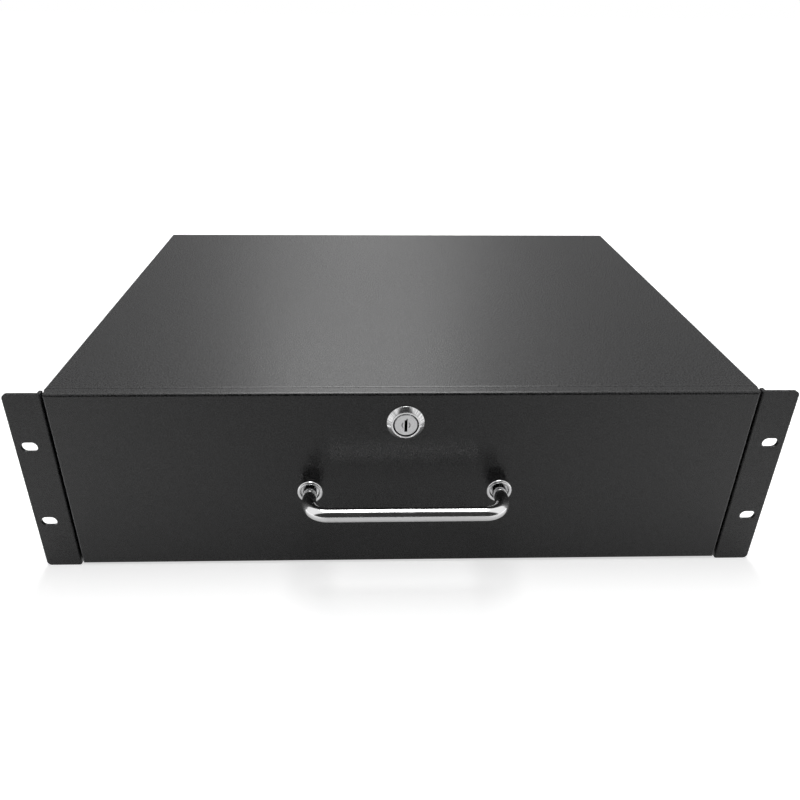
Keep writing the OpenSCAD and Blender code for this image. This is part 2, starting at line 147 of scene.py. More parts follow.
def shade(colour, factor=1.0):
    """A full colour, lighter or darker than the one given."""
    return (*(min(1.0, part * factor) for part in colour), 1.0)


def tinted(tree, factor, low, high):
    """A colour between two others, each of them plain or from a node."""
    node = tree.nodes.new("ShaderNodeMix")
    node.data_type = "RGBA"
    for number, value in zip(MIX_INPUTS, (factor, low, high)):
        feed(tree, node.inputs[number], value)
    return node.outputs[MIX_RESULT]


def mottled(tree, spots, colour, dark, pale):
    """A colour that follows the spots from a darker to a paler shade of itself."""
    return tinted(tree, spots, shade(colour, dark), shade(colour, pale))


def relief(tree, height, depth, normal=None):
    """Small bumps of the given depth, on top of another normal."""
    node = tree.nodes.new("ShaderNodeBump")
    node.inputs["Distance"].default_value = depth
    tree.links.new(height, node.inputs["Height"])
    if normal is not None:
        tree.links.new(normal, node.inputs["Normal"])
    return node.outputs["Normal"]


def softened(tree, radius):
    """The surface normal with its sharp edges rounded off."""
    node = tree.nodes.new("ShaderNodeBevel")
    node.samples = EDGE_SAMPLES
    node.inputs["Radius"].default_value = radius
    return node.outputs["Normal"]


def folds(tree, normal, axes):
    """Nothing on flat sheet, and up to one on the folds between the faces across two axes."""
    turn = wired(tree, "ShaderNodeVectorMath", normal, operation="ABSOLUTE").outputs["Vector"]
    reach = wired(tree, "ShaderNodeVectorMath", turn, axes, operation="DOT_PRODUCT").outputs["Value"]
    return ranged(tree, reach, start=1.05, end=1.3)


def round_axis(tree, coords, centre, operation):
    """A node that gives the way out from an axis along Y, or the distance from it."""
    flat = mapped(tree, coords, scale=(1.0, 0.0, 1.0), move=(-centre.x, 0.0, -centre.z))
    return wired(tree, "ShaderNodeVectorMath", flat, operation=operation)


# Finishes

def powder_coat(settings, name, gloss, size, highlit_axes=None):
    """Fine-grained black powder coat over sheet metal, with a painted highlight: paler on the folds across
    the highlit axes.
    """
    material, tree, shader, coords = new_finish(name)
    grain = speckle(tree, coords, size, detail=0.0)
    coat = mottled(tree, ranged(tree, grain, start=0.4, end=0.6), settings.colour, dark=0.3, pale=3.6)
    if highlit_axes:
        # Painted highlight: the coat is made paler along the folds, in place of the thin bright line they
        # catch
        highlit = folds(tree, coords.node.outputs["Normal"], highlit_axes)
        coat = tinted(tree, highlit, coat, shade(settings.colour, settings.fold_highlight))
    set_shader(tree, shader, {
        "Base Color": coat,
        "Specular IOR Level": gloss,
        "Roughness": around(tree, grain, settings.roughness, reach=0.04),
        "Normal": relief(tree, grain, settings.relief, softened(tree, settings.edge_radius)),
    })
    return material


def bright_chrome(settings, name="bright_chrome", gain=1.0):
    """Polished chrome plate with faint handling marks."""
    material, tree, shader, coords = new_finish(name)
    haze = speckle(tree, coords, size=0.012, detail=4.0)
    marks = speckle(tree, coords, size=0.0009)
    polish = settings.chrome_roughness
    set_shader(tree, shader, {
        "Metallic": 1.0,
        "Base Color": mottled(tree, haze, settings.chrome, dark=0.94 * gain, pale=gain),
        "Roughness": ranged(tree, haze, low=polish, high=1.8 * polish),
        "Normal": relief(tree, marks, depth=0.000002),
    })
    return material


def bezel_chrome(settings, centre):
    """Chrome of the bezel's slope, with painted reflections: darker and paler streaks that run out from its
    axis.
    """
    material, tree, shader, coords = new_finish("bezel_chrome")
    ways = round_axis(tree, coords, centre, "NORMALIZE").outputs["Vector"]
    painted_streaks = speckle(tree, ways, size=0.05, detail=3.0)
    fine = speckle(tree, ways, size=0.02, detail=1.0)
    polish = settings.chrome_roughness
    # Painted reflections: the streaks darken and lighten the chrome's colour round the bezel
    marks = ranged(tree, painted_streaks, start=0.38, end=0.6)
    set_shader(tree, shader, {
        "Metallic": 1.0,
        "Base Color": mottled(tree, marks, settings.chrome, dark=0.45, pale=1.05),
        "Roughness": ranged(tree, fine, low=polish, high=2.5 * polish),
    })
    return material


def satin_plug(settings, centre):
    """Satin nickel of the lock plug, with fine turning marks round its axis."""
    material, tree, shader, coords = new_finish("satin_plug")
    pitch = 0.00025
    marks = wired(tree, "ShaderNodeTexNoise", noise_dimensions="1D")
    marks.inputs["Scale"].default_value = 1.0 / pitch
    feed(tree, marks.inputs["W"], round_axis(tree, coords, centre, "LENGTH").outputs["Value"])
    rings = marks.outputs["Fac"]
    haze = speckle(tree, coords, size=0.002, detail=3.0)
    set_shader(tree, shader, {
        "Metallic": 1.0,
        "Base Color": mottled(tree, haze, settings.chrome, dark=0.92, pale=1.05),
        "Roughness": ranged(tree, rings, low=0.24, high=0.36),
        "Normal": relief(tree, rings, depth=0.00001),
    })
    return material


def painted_recess_shade(settings):
    """Painted shade: near-black steel inside the keyway, the grooves beside it and the gap round the plug,
    darkened for the shade in these recesses.
    """
    material, tree, shader, coords = new_finish("painted_recess_shade")
    blotches = speckle(tree, coords, size=0.0006, detail=3.0)
    set_shader(tree, shader, {
        "Metallic": 0.6,
        "Base Color": mottled(tree, blotches, settings.screw, dark=0.2, pale=0.5),
        "Roughness": ranged(tree, blotches, low=0.5, high=0.7),
    })
    return material


def zinc_plate(settings):
    """Rolled steel under bright zinc, with drawn streaks along its length."""
    material, tree, shader, coords = new_finish("zinc_plate")
    streak = speckle(tree, mapped(tree, coords, scale=(1.0, 0.03, 1.0)), size=0.0012, detail=3.0)
    bloom = speckle(tree, coords, size=0.018, detail=4.0)
    set_shader(tree, shader, {
        "Metallic": 1.0,
        "Base Color": mottled(tree, bloom, settings.zinc, dark=0.82, pale=1.0),
        "Roughness": around(tree, streak, settings.zinc_roughness, reach=0.06),
        "Normal": relief(tree, streak, depth=0.000012, normal=softened(tree, radius=0.0002)),
    })
    return material


def black_steel(settings):
    """Black plated screws with a slight sheen."""
    material, tree, shader, coords = new_finish("black_steel")
    spots = speckle(tree, coords, size=0.0007, detail=3.0)
    set_shader(tree, shader, {
        "Metallic": 0.7,
        "Base Color": mottled(tree, spots, settings.screw, dark=0.7, pale=1.3),
        "Roughness": ranged(tree, spots, low=0.28, high=0.42),
        "Normal": relief(tree, spots, depth=0.000008, normal=softened(tree, radius=0.00015)),
    })
    return material


def black_plastic(settings):
    """Moulded black plastic with a fine eroded skin."""
    material, tree, shader, coords = new_finish("black_plastic")
    skin = speckle(tree, coords, size=0.0003, detail=3.0)
    set_shader(tree, shader, {
        "Base Color": mottled(tree, skin, settings.plastic, dark=0.8, pale=1.2),
        "Roughness": ranged(tree, skin, low=0.42, high=0.58),
        "Normal": relief(tree, skin, depth=0.000015, normal=softened(tree, radius=0.0002)),
    })
    return material


def dress(material, *nodes):
    """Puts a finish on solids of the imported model."""
    for name in nodes:
        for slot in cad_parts[name].material_slots:
            slot.material = material


# Shapes

def turned(bm, profile, steps=48):
    """Turns (radius, height) corners round the Z axis into a closed solid."""
    corners = [bm.verts.new((radius, 0.0, height)) for radius, height in profile]
    edges = [bm.edges.new(pair) for pair in zip(corners, corners[1:])]
    if profile[0][0] > 0:
        edges.append(bm.edges.new((corners[-1], corners[0])))
    bmesh.ops.spin(bm, geom=corners + edges, axis=(0, 0, 1), cent=(0, 0, 0), angle=2 * pi, steps=steps,
                   use_merge=True)
    bmesh.ops.remove_doubles(bm, verts=bm.verts, dist=WELD)
    bmesh.ops.recalc_face_normals(bm, faces=bm.faces)


def block(low, high):
    """A block between two corners, as a cutter or as the plain end of a turned part."""
    bm = bmesh.new()
    size = Vector(high) - Vector(low)
    bmesh.ops.create_cube(bm, size=1.0)
    bmesh.ops.scale(bm, verts=bm.verts, vec=size)
    bmesh.ops.translate(bm, verts=bm.verts, vec=Vector(low) + size / 2)
    return bm


def as_object(name, bm):
    """Puts a finished bmesh into the scene."""
    mesh = bpy.data.meshes.new(name)
    bm.to_mesh(mesh)
    bm.free()
    thing = bpy.data.objects.new(name, mesh)
    bpy.context.scene.collection.objects.link(thing)
    return thing


def discard(thing):
    """Throws a helper shape away."""
    mesh = thing.data
    bpy.data.objects.remove(thing)
    bpy.data.meshes.remove(mesh)


def carve(piece, bm):
    """Cuts a shape out of a piece."""
    cutter = as_object("cutter", bm)
    tool = piece.modifiers.new("cut", "BOOLEAN")
    tool.solver = "EXACT"
    tool.object = cutter
    whole = piece.data
    graph = bpy.context.evaluated_depsgraph_get()
    piece.data = bpy.data.meshes.new_from_object(piece.evaluated_get(graph))
    piece.modifiers.clear()
    bpy.data.meshes.remove(whole)
    discard(cutter)


def join(piece, bm):
    """Sets a shape against a piece as one more closed shell of it."""
    extra = as_object("extra", bm)
    both = bmesh.new()
    both.from_mesh(piece.data)
    both.from_mesh(extra.data)
    both.to_mesh(piece.data)
    both.free()
    discard(extra)


def fit(piece, materials, body, node, sharp=35):
    """Shades a piece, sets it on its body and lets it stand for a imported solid."""
    mesh = piece.data
    for material in materials:
        mesh.materials.append(material)
    mesh.shade_smooth()
    mesh.set_sharp_from_angle(angle=radians(sharp))
    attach(piece, body)
    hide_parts(node)


def solids(node):
    """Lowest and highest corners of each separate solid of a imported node."""
    bm = bmesh.new()
    bm.from_mesh(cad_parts[node].data)
    bmesh.ops.remove_doubles(bm, verts=bm.verts, dist=WELD)
    boxes, seen = [], set()
    for first in bm.verts:
        if first in seen:
            continue
        seen.add(first)
        reach = [first]
        for vert in reach:
            for edge in vert.link_edges:
                other = edge.other_vert(vert)
                if other not in seen:
                    seen.add(other)
                    reach.append(other)
        spans = list(zip(*(vert.co for vert in reach)))
        boxes.append((Vector(map(min, spans)), Vector(map(max, spans))))
    bm.free()
    return boxes


# Settings

def length(name, description, millimetres, least=0.0):
    """A size given in millimetres and kept in metres, with the least that it may be."""
    return bpy.props.FloatProperty(name=name, description=description, subtype="DISTANCE", unit="LENGTH",
                                   precision=5, min=least / 1000, default=millimetres / 1000)


def distance(name, description, metres):
    """A distance on the stage, which may lie below zero."""
    return bpy.props.FloatProperty(name=name, description=description, subtype="DISTANCE", unit="LENGTH",
                                   default=metres)


def share(name, description, part):
    """A number from nothing to one."""
    return bpy.props.FloatProperty(name=name, description=description, subtype="FACTOR", min=0, max=1,
                                   default=part)


def shares(name, description, parts):
    """Two numbers from nothing to one."""
    return bpy.props.FloatVectorProperty(name=name, description=description, size=2, min=0, max=1,
                                         default=parts)


def strength(name, description, amount):
    """A number with no upper end."""
    return bpy.props.FloatProperty(name=name, description=description, min=0, default=amount)


def slant(name, description, amount):
    """A change of width with height, which may lie below zero."""
    return bpy.props.FloatProperty(name=name, description=description, default=amount)


def tint(name, description, colour):
    """A colour."""
    return bpy.props.FloatVectorProperty(name=name, description=description, subtype="COLOR", min=0, max=1,
                                         default=colour)


def place(name, description, point):
    """A place on the stage in metres."""
    return bpy.props.FloatVectorProperty(name=name, description=description, subtype="TRANSLATION",
                                         unit="LENGTH", default=point)


def lengths(name, description, metres):
    """Two lengths on the stage in metres."""
    return bpy.props.FloatVectorProperty(name=name, description=description, size=2, unit="LENGTH", min=0,
                                         default=metres)


class RACKDRAWER_PG_coat(bpy.types.PropertyGroup):
    """Powder coat of the sheet metal."""
    colour: tint("Coat Colour", "Colour of the powder coat", (0.0095, 0.0095, 0.0098))
    roughness: share("Coat Roughness", "How far the coat spreads a highlight", 0.29)
    gloss: share("Coat Gloss", "Strength of the coat's mirror reflection", 0.40)
    front_gloss: share("Front Gloss", "The same for the drawer front, which hands keep smooth", 0.45)
    grain: length("Grain Size", "Width of one pimple of the coat", 0.85, least=0.2)
    front_grain: length("Front Grain", "The same for the drawer front and the ears", 0.62, least=0.2)
    relief: length("Grain Depth", "Height of the pimples", 0.05)
    edge_radius: length("Edge Radius", "Radius that the coat leaves on a cut edge", 0.4)
    # Painted highlight: how many times paler the coat is made along the highlit folds
    fold_highlight: strength("Fold Wear", "How many times paler the coat is where a fold is rubbed", 10.0)


class RACKDRAWER_PG_metal(bpy.types.PropertyGroup):
    """Plated and moulded parts."""
    chrome: tint("Chrome Colour", "Colour of the handle and lock", (0.80, 0.80, 0.805))
    chrome_roughness: share("Chrome Roughness", "How far the chrome blurs a reflection", 0.1)
    zinc: tint("Zinc Colour", "Colour of the slides", (0.62, 0.63, 0.65))
    zinc_roughness: share("Zinc Roughness", "How far the zinc blurs a reflection", 0.32)
    screw: tint("Screw Colour", "Colour of the black screws", (0.03, 0.03, 0.032))
    plastic: tint("Plastic Colour", "Colour of the bumpers", (0.016, 0.016, 0.016))


class RACKDRAWER_PG_hardware(bpy.types.PropertyGroup):
    """Sizes of the pan head screws."""
    head_radius: length("Head Radius", "Radius of a screw head", 4.0)
    head_height: length("Head Height", "Height of a screw head", 2.4)
    head_dome: length("Head Dome", "Radius of the domed top of a head", 6.0)
    shank_radius: length("Shank Radius", "Outside radius of the thread", 2.0)
    pitch: length("Thread Pitch", "Rise of one turn of the thread", 0.7, least=0.2)
    side_reach: length("Side Reach", "Distance from the middle past which a screw lies across", 190.0)


class RACKDRAWER_PG_lock(bpy.types.PropertyGroup):
    """Sizes of the cam lock."""
    bezel: length("Bezel", "Diameter of the bezel", 23.6)
    rim: length("Rim", "Height of the bezel's outer rim", 0.5)
    ring: length("Ring", "Diameter of the raised ring", 18.0)
    slope: length("Slope", "Height of the bezel's slope at the ring", 2.8)
    height: length("Ring Height", "Height of the ring over the drawer front", 3.5)
    mouth: length("Mouth", "Diameter of the mouth in the ring", 15.9)
    groove: length("Groove", "Depth of the groove round the plug", 1.2)
    plug: length("Plug", "Diameter of the plug head", 14.4)
    body: length("Plug Body", "Diameter of the plug inside the barrel", 11.8)
    clearance: length("Clearance", "Running clearance of the plug", 0.08)
    step: length("Step", "Depth of the step under the plug head", 1.0)
    edge: length("Edge", "Radius on the visible edges", 0.25)
    barrel: length("Barrel", "Diameter of the threaded barrel", 18.0)
    barrel_length: length("Barrel Length", "Length of the barrel behind the bezel", 11.0)
    flats: length("Flats", "Distance over the barrel's flats", 16.0)
    pitch: length("Barrel Pitch", "Rise of one turn of the barrel's thread", 1.0, least=0.2)
    tail: length("Tail", "Side of the square that carries the cam", 7.0)
    key_width: length("Key Width", "Width of the keyway", 1.75)
    key_height: length("Key Height", "Height of the keyway", 8.1)
    key_drop: length("Key Drop", "How far the middle of the keyway lies under the axis", 0.5)
    key_depth: length("Key Depth", "Depth of the keyway", 8.0)
    key_ring: length("Key Ring", "Radius of the two round grooves beside the keyway", 2.2)
    key_groove: length("Key Groove", "Width and depth of the round grooves", 0.5)
    key_arc: length("Key Arc", "Half the height of the round grooves", 1.7)


class RACKDRAWER_PG_studio(bpy.types.PropertyGroup):
    """Floor, lamps, cloths and camera. The cloths' places count their height from the floor."""
    floor: tint("Floor Colour", "Colour of the floor sheet", (0.80, 0.80, 0.80))
    floor_lift: share("Floor Lift", "White added to the floor near the part where it is seen", 0.62)
    floor_fade: lengths("Floor Fade", "Distances where the fade to white starts and ends", (0.45, 1.6))
    overhead: strength("Overhead Lamp", "Brightness of the softbox above", 7.5)
    overhead_place: place("Overhead Place", "Where the softbox above hangs", (0.0, 0.5, 1.55))
    overhead_size: lengths("Overhead Size", "Width and depth of the softbox above", (0.7, 1.5))
    rear: strength("Rear Lamp", "Brightness of the softbox behind", 2.2)
    rear_place: place("Rear Place", "Where the softbox behind stands", (-0.05, 2.6, 1.6))
    rear_target: place("Rear Target", "What the softbox behind is turned to", (0.0, 0.17, 0.06))
    rear_size: lengths("Rear Size", "Width and height of the softbox behind", (0.9, 0.7))
    room: strength("Room Light", "Brightness of the room as a light", 0.15)
    card: share("Card Grey", "Brightness of the dark cloth in front", 0.04)
    card_place: place("Card Place", "Where the middle of the dark cloth hangs", (0.0, -0.45, 0.99))
    card_size: lengths("Card Size", "Width and height of the dark cloth", (1.8, 1.9))
    card_half: distance("Card Half", "Half the width of the dark cloth at the drawer's height", 0.6)
    card_fade: distance("Card Fade", "Width over which the dark cloth thins out", 0.15)
    card_lean: slant("Card Lean", "How much narrower each half of the dark cloth gets with height", 0.4)
    shade: shares("Front Shade", "Shade of the camera on the floor, edge and middle", (0.20, 0.52))
    shade_place: place("Shade Place", "Where the middle of the shade lies", (0.0, -0.4, 0.0005))
    shade_size: lengths("Shade Size", "Width and depth of the shade", (1.6, 0.8))
    shade_edge: distance("Shade Edge", "Distance from the middle where the shade is thinnest", 0.3)
    shade_core: distance("Shade Core", "Distance from the middle where the shade is fullest", 0.05)
    flag: shares("Flag Grey", "Brightness of the rear flags at their foot and at their head", (0.22, 0.33))
    flag_place: place("Flag Place", "Where the middle of the rear flags hangs", (0.0, 2.9, 1.2))
    flag_size: lengths("Flag Size", "Width and height of the rear flags", (6.0, 2.4))
    flag_gap: distance("Flag Gap", "Half the gap between the flags at the drawer's height; below zero "
                       "they part higher up", -0.40)
    flag_fade: distance("Flag Fade", "Width over which a flag thins out to its edge", 0.7)
    flag_lean: slant("Flag Lean", "How much each flag leans to the middle with height", -0.65)
    flag_weave: shares("Flag Weave", "Cover of the flags in the gap and away from it", (0.18, 1.0))
    camera_place: place("Camera Place", "Where the camera stands", (-0.025143, -0.389224, 0.267614))
    camera_turn: bpy.props.FloatVectorProperty(
        name="Camera Turn", description="Pan, downward tilt and roll of the camera", subtype="EULER",
        unit="ROTATION", default=(-0.032568, 0.510056, 0.011051))
    camera_shift: bpy.props.FloatVectorProperty(
        name="Camera Shift", description="Shift of the picture over the lens", size=2, precision=5,
        default=(0.018145, 0.017727))
    lens: bpy.props.FloatProperty(
        name="Lens", description="Focal length of the camera in millimetres", unit="CAMERA",
        min=10, max=200, default=32.6569)


# Sheet metal and slides

class RACKDRAWER_OT_coat_sheet(bpy.types.Operator):
    """Coats the case, ears, drawer front and tray"""
    bl_idname = "rack_drawer.coat_sheet"
    bl_label = "Coat Sheet Metal"

    def execute(self, context):
        coat = context.scene.rack_drawer_coat
        upright_folds = (1.0, 1.0, 0.0)
        case = powder_coat(coat, "case_coat", coat.gloss, coat.grain)
        ears = powder_coat(coat, "ear_coat", coat.gloss, coat.front_grain)
        # The drawer front gets a painted highlight along its upright folds
        front = powder_coat(coat, "front_coat", coat.front_gloss, coat.front_grain, upright_folds)
        dress(case, "case_shell", "base_pan", "rear_panel", "drawer_tray")
        dress(ears, "rack_ear_left", "rack_ear_right")
        dress(front, "drawer_front")
        return {"FINISHED"}


class RACKDRAWER_OT_plate_slides(bpy.types.Operator):
    """Plates the slides, cages, washers, nuts and cam, and moulds the bumpers"""
    bl_idname = "rack_drawer.plate_slides"
    bl_label = "Finish Slides"

    def execute(self, context):
        metal = context.scene.rack_drawer_metal
        zinc = zinc_plate(metal)
        plastic = black_plastic(metal)
        for side in ("left", "right"):
            dress(zinc, *(f"slide_{member}_{side}" for member in ("outer", "middle", "inner")))
            dress(zinc, f"outer_cage_{side}", f"inner_cage_{side}")
            dress(plastic, f"slide_bumper_{side}")
        dress(zinc, "handle_washers", "lock_washer", "lock_nut", "lock_cam", "ear_nuts")
        return {"FINISHED"}


# Screws: the slot of the finish, the body that carries them, and the side of the head where they lie across
# the case: 1 is away from the middle and -1 is towards it
SCREWS = {
    "ear_screws": ("black_screw", "case", 1),
    "base_screws": ("black_screw", "case", 1),
    "rear_screws": ("black_screw", "case", 1),
    "slide_case_screws": ("black_screw", "case", 1),
    "slide_tray_screws": ("zinc", "drawer", -1),
    "handle_screws": ("zinc", "drawer", 1),
    "cam_screw": ("zinc", "lock", 1),
}
SCREW_STEPS = 32
# Each cross recess is turned this many degrees from the one before
RECESS_TURN = 37
# Shares of the head's radius at which the dome is drawn
DOME_RINGS = (0, 0.2, 0.4, 0.6, 0.75, 0.88, 0.96)
# Shares of the head's height where its side starts and ends, and of its radius at the seat
SIDE_TOP = 0.3
SIDE_FOOT = 0.08
SEAT_RIM = 0.96
# Shares of the shank's radius at the root of the thread and at the point
THREAD_ROOT = 0.82
SHANK_POINT = 0.8
# Half length and half width of the recess as shares of the head's radius, floor and top of its height
RECESS_LENGTH = 0.55
RECESS_WIDTH = 0.12
RECESS_FLOOR = 0.3
RECESS_TOP = 1.2
# Length and width of the recess at its floor, as shares of those at its top
RECESS_TAPER = (0.45, 0.6, 1.0)


def pan_screw(sizes, reach):
    """A pan head screw on its seat: domed head with a cross recess, threaded shank of the given reach."""
    head, tall, dome = sizes.head_radius, sizes.head_height, sizes.head_dome
    shank, pitch = sizes.shank_radius, sizes.pitch
    rings = [head * ring for ring in DOME_RINGS]
    profile = [(ring, tall - dome + sqrt(dome * dome - ring * ring)) for ring in rings]
    profile += [(head, SIDE_TOP * tall), (head, SIDE_FOOT * tall), (SEAT_RIM * head, 0.0), (shank, 0.0)]
    for turn in range(int((reach - 0.5 * pitch) / pitch)):
        profile += [(THREAD_ROOT * shank, -(turn + 0.5) * pitch), (shank, -(turn + 1) * pitch)]
    profile += [(SHANK_POINT * shank, -reach), (0.0, -reach)]
    bm = bmesh.new()
    turned(bm, profile, SCREW_STEPS)
    screw = as_object("screw", bm)
    long, wide = RECESS_LENGTH * head, RECESS_WIDTH * head
    for turn in (0, 90):
        wedge = block((-long, -wide, RECESS_FLOOR * tall), (long, wide, RECESS_TOP * tall))
        foot = [vert for vert in wedge.verts if vert.co.z < tall / 2]
        bmesh.ops.scale(wedge, verts=foot, vec=RECESS_TAPER)
        cross = Matrix.Rotation(radians(turn), 3, "Z")
        bmesh.ops.rotate(wedge, verts=wedge.verts, cent=(0, 0, 0), matrix=cross)
        carve(screw, wedge)
    return screw


def seated_screw(sizes, low, high, outward, count):
    """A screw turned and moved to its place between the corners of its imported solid."""
    middle = (low + high) / 2
    way = Vector((0, 1, 0))
    if abs(middle.x) > sizes.side_reach:
        way = Vector((outward if middle.x > 0 else -outward, 0, 0))
    span = abs((high - low).dot(way))
    screw = pan_screw(sizes, span - sizes.head_height)
    seat = middle + way * (span / 2 - sizes.head_height)
    lie = Vector((0, 0, 1)).rotation_difference(way).to_matrix().to_4x4()
    twist = Matrix.Rotation(radians(RECESS_TURN * count), 4, "Z")
    screw.data.transform(Matrix.Translation(seat) @ lie @ twist)
    return screw


class RACKDRAWER_OT_fit_screws(bpy.types.Operator):
    """Fits screws with domed heads, cross recesses and threads"""
    bl_idname = "rack_drawer.fit_screws"
    bl_label = "Fit Screws"

    def execute(self, context):
        sizes = context.scene.rack_drawer_hardware
        metal = context.scene.rack_drawer_metal
        finishes = {"black_screw": black_steel(metal), "zinc": zinc_plate(metal)}
        for node, (slot, body, outward) in SCREWS.items():
            bm = bmesh.new()
            for count, (low, high) in enumerate(solids(node)):
                screw = seated_screw(sizes, low, high, outward, count)
                bm.from_mesh(screw.data)
                discard(screw)
            fit(as_object(node.replace("screw", "pan_screw"), bm), [finishes[slot]], body, node)
        return {"FINISHED"}


# Handle and lock

class RACKDRAWER_OT_polish_chrome(bpy.types.Operator):
    """Polishes the handle, its ferrules and the balls"""
    bl_idname = "rack_drawer.polish_chrome"
    bl_label = "Polish Chrome"

    def execute(self, context):
        chrome = bright_chrome(context.scene.rack_drawer_metal)
        dress(chrome, "handle_bar", "handle_ferrules",
              "outer_balls_left", "outer_balls_right", "inner_balls_left", "inner_balls_right")
        return {"FINISHED"}


# Numbers of the finishes on the lock's two pieces, after the metal of the piece itself: the painted shade
# of the recesses, and the bezel's slope with its painted reflections
RECESS_SHADE = 1
SLOPE = 2
LOCK_STEPS = 96
# Edges of the lock that turn by more than this many degrees are sharp
LOCK_CREASE = 25
# The lock housing is plated brighter than the handle
LOCK_GAIN = 1.2
# Root of the barrel's thread as a share of its radius
BARREL_ROOT = 0.955
# The flats stop this far behind the bezel, in metres
FLAT_STOP = 0.00002
# Side and foot of the step in the keyway, as shares of half its width and half its height
WARD_SIDE = 0.2
WARD_FOOT = 0.7
# Faces up to this many times the reach of the keyway or its grooves belong to them
KEY_MARGIN = 1.01


def on_lock_axis():
    """Takes a piece from its own upright axis to the lock axis on the face of the drawer front."""
    low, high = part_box("lock_housing")
    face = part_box("drawer_front")[0][1]
    centre = Vector(((low[0] + high[0]) / 2, face, (low[2] + high[2]) / 2))
    return Matrix.Translation(centre) @ Matrix.Rotation(pi / 2, 4, "X")


def lock_housing(sizes):
    """Lock housing on an upright axis: threaded barrel with flats, sloped bezel and raised ring."""
    bore, plug, body, run = sizes.mouth / 2, sizes.plug / 2, sizes.body / 2, sizes.clearance
    ring, bezel, barrel = sizes.ring / 2, sizes.bezel / 2, sizes.barrel / 2
    root = BARREL_ROOT * barrel
    groove = sizes.height - sizes.groove
    profile = [(body + run, -sizes.barrel_length)]
    for turn in range(int(sizes.barrel_length / sizes.pitch), 0, -1):
        profile += [(root, -turn * sizes.pitch), (barrel, -(turn - 0.5) * sizes.pitch)]
    profile += [(root, 0.0), (bezel, 0.0), (bezel, sizes.rim), (ring, sizes.slope), (ring, sizes.height),
                (bore, sizes.height), (bore, groove), (plug + run, groove), (plug + run, -sizes.step),
                (body + run, -sizes.step)]
    bm = bmesh.new()
    turned(bm, profile, LOCK_STEPS)
    seen = [edge for edge in bm.edges if min(vert.co.z for vert in edge.verts) >= sizes.rim]
    sharp = [edge for edge in seen if edge.is_manifold and edge.is_convex
             and edge.calc_face_angle() > radians(LOCK_CREASE)]
    bmesh.ops.bevel(bm, geom=sharp, offset=sizes.edge, offset_type="OFFSET", segments=3, profile=0.5,
                    affect="EDGES", material=-1, clamp_overlap=True)
    housing = as_object("cam_lock_housing", bm)
    past, below = 2 * barrel, -2 * sizes.barrel_length
    for side in (-1, 1):
        near, far = sorted((side * sizes.flats / 2, side * past))
        carve(housing, block((-past, near, below), (past, far, -FLAT_STOP)))
    for part in housing.data.polygons:
        reach, tall = part.center.xy.length, part.center.z
        if plug < reach < bore + HAIR and 0 < tall < sizes.height - 2 * run:
            # Faces of the gap round the plug take the painted shade
            part.material_index = RECESS_SHADE
        elif reach > ring and tall > 0:
            # The bezel's slope takes the chrome with painted reflection streaks
            part.material_index = SLOPE
    return housing


def key_grooves(sizes, face):
    """Cutter for the two round grooves beside the keyway: a ring with its top and foot cut off."""
    inner, outer = sizes.key_ring, sizes.key_ring + sizes.key_groove
    floor, above = face - sizes.key_groove, face + sizes.key_groove
    bm = bmesh.new()
    turned(bm, [(inner, floor), (outer, floor), (outer, above), (inner, above)])
    for side in (-1, 1):
        bmesh.ops.bisect_plane(bm, geom=bm.verts[:] + bm.edges[:] + bm.faces[:], dist=WELD / 10,
                               plane_co=(0, side * sizes.key_arc, 0), plane_no=(0, side, 0),
                               clear_outer=True)
        bmesh.ops.holes_fill(bm, edges=bm.edges)
    bmesh.ops.recalc_face_normals(bm, faces=bm.faces)
    return bm


def lock_plug(sizes, face, tail):
    """Lock plug on an upright axis: stepped head with its keyway, and the square that carries the cam."""
    plug, body, run, edge = sizes.plug / 2, sizes.body / 2, sizes.clearance, sizes.edge
    end, step = -sizes.barrel_length - run, run - sizes.step
    bm = bmesh.new()
    turned(bm, [(0.0, end), (body, end), (body, step), (plug, step),
                (plug, face - edge), (plug - edge, face), (0.0, face)], LOCK_STEPS)
    key = as_object("cam_lock_plug", bm)
    carve(key, key_grooves(sizes, face))
    wide, tall, drop = sizes.key_width / 2, sizes.key_height / 2, sizes.key_drop
    bottom, above = face - sizes.key_depth, 2 * face
    carve(key, block((-wide, -tall - drop, bottom), (wide, tall - drop, above)))
    carve(key, block((WARD_SIDE * wide, WARD_FOOT * tall, bottom), (wide, tall + drop, above)))
    for part in key.data.polygons:
        spot = part.center
        slotted = abs(spot.x) < KEY_MARGIN * wide and abs(spot.y) < KEY_MARGIN * (tall + drop)
        grooved = spot.xy.length < KEY_MARGIN * (sizes.key_ring + sizes.key_groove)
        if bottom - HAIR < spot.z < face - HAIR and (slotted or grooved):
            # Faces inside the keyway and its grooves take the painted shade
            part.material_index = RECESS_SHADE
    half = sizes.tail / 2
    join(key, block((-half, -half, tail), (half, half, end)))
    return key


class RACKDRAWER_OT_fit_lock(bpy.types.Operator):
    """Fits the lock housing with its bezel and the plug with its keyway"""
    bl_idname = "rack_drawer.fit_lock"
    bl_label = "Fit Lock"

    def execute(self, context):
        sizes = context.scene.rack_drawer_lock
        metal = context.scene.rack_drawer_metal
        axis = on_lock_axis()
        centre = axis.translation
        dark = painted_recess_shade(metal)

        housing = lock_housing(sizes)
        housing.data.transform(axis)
        plating = [bright_chrome(metal, "lock_chrome", LOCK_GAIN), dark, bezel_chrome(metal, centre)]
        fit(housing, plating, "drawer", "lock_housing", LOCK_CREASE)

        low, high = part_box("lock_plug")
        key = lock_plug(sizes, face=centre.y - low[1], tail=centre.y - high[1])
        key.data.transform(axis)
        fit(key, [satin_plug(metal, centre), dark], "lock", "lock_plug", LOCK_CREASE)
        return {"FINISHED"}


# Stage

# Side of the floor sheet in metres
FLOOR_SIDE = 80
# Heights in metres between which the glowing grey of a cloth goes from its foot to its head
GLOW_SPAN = (0.6, 1.4)
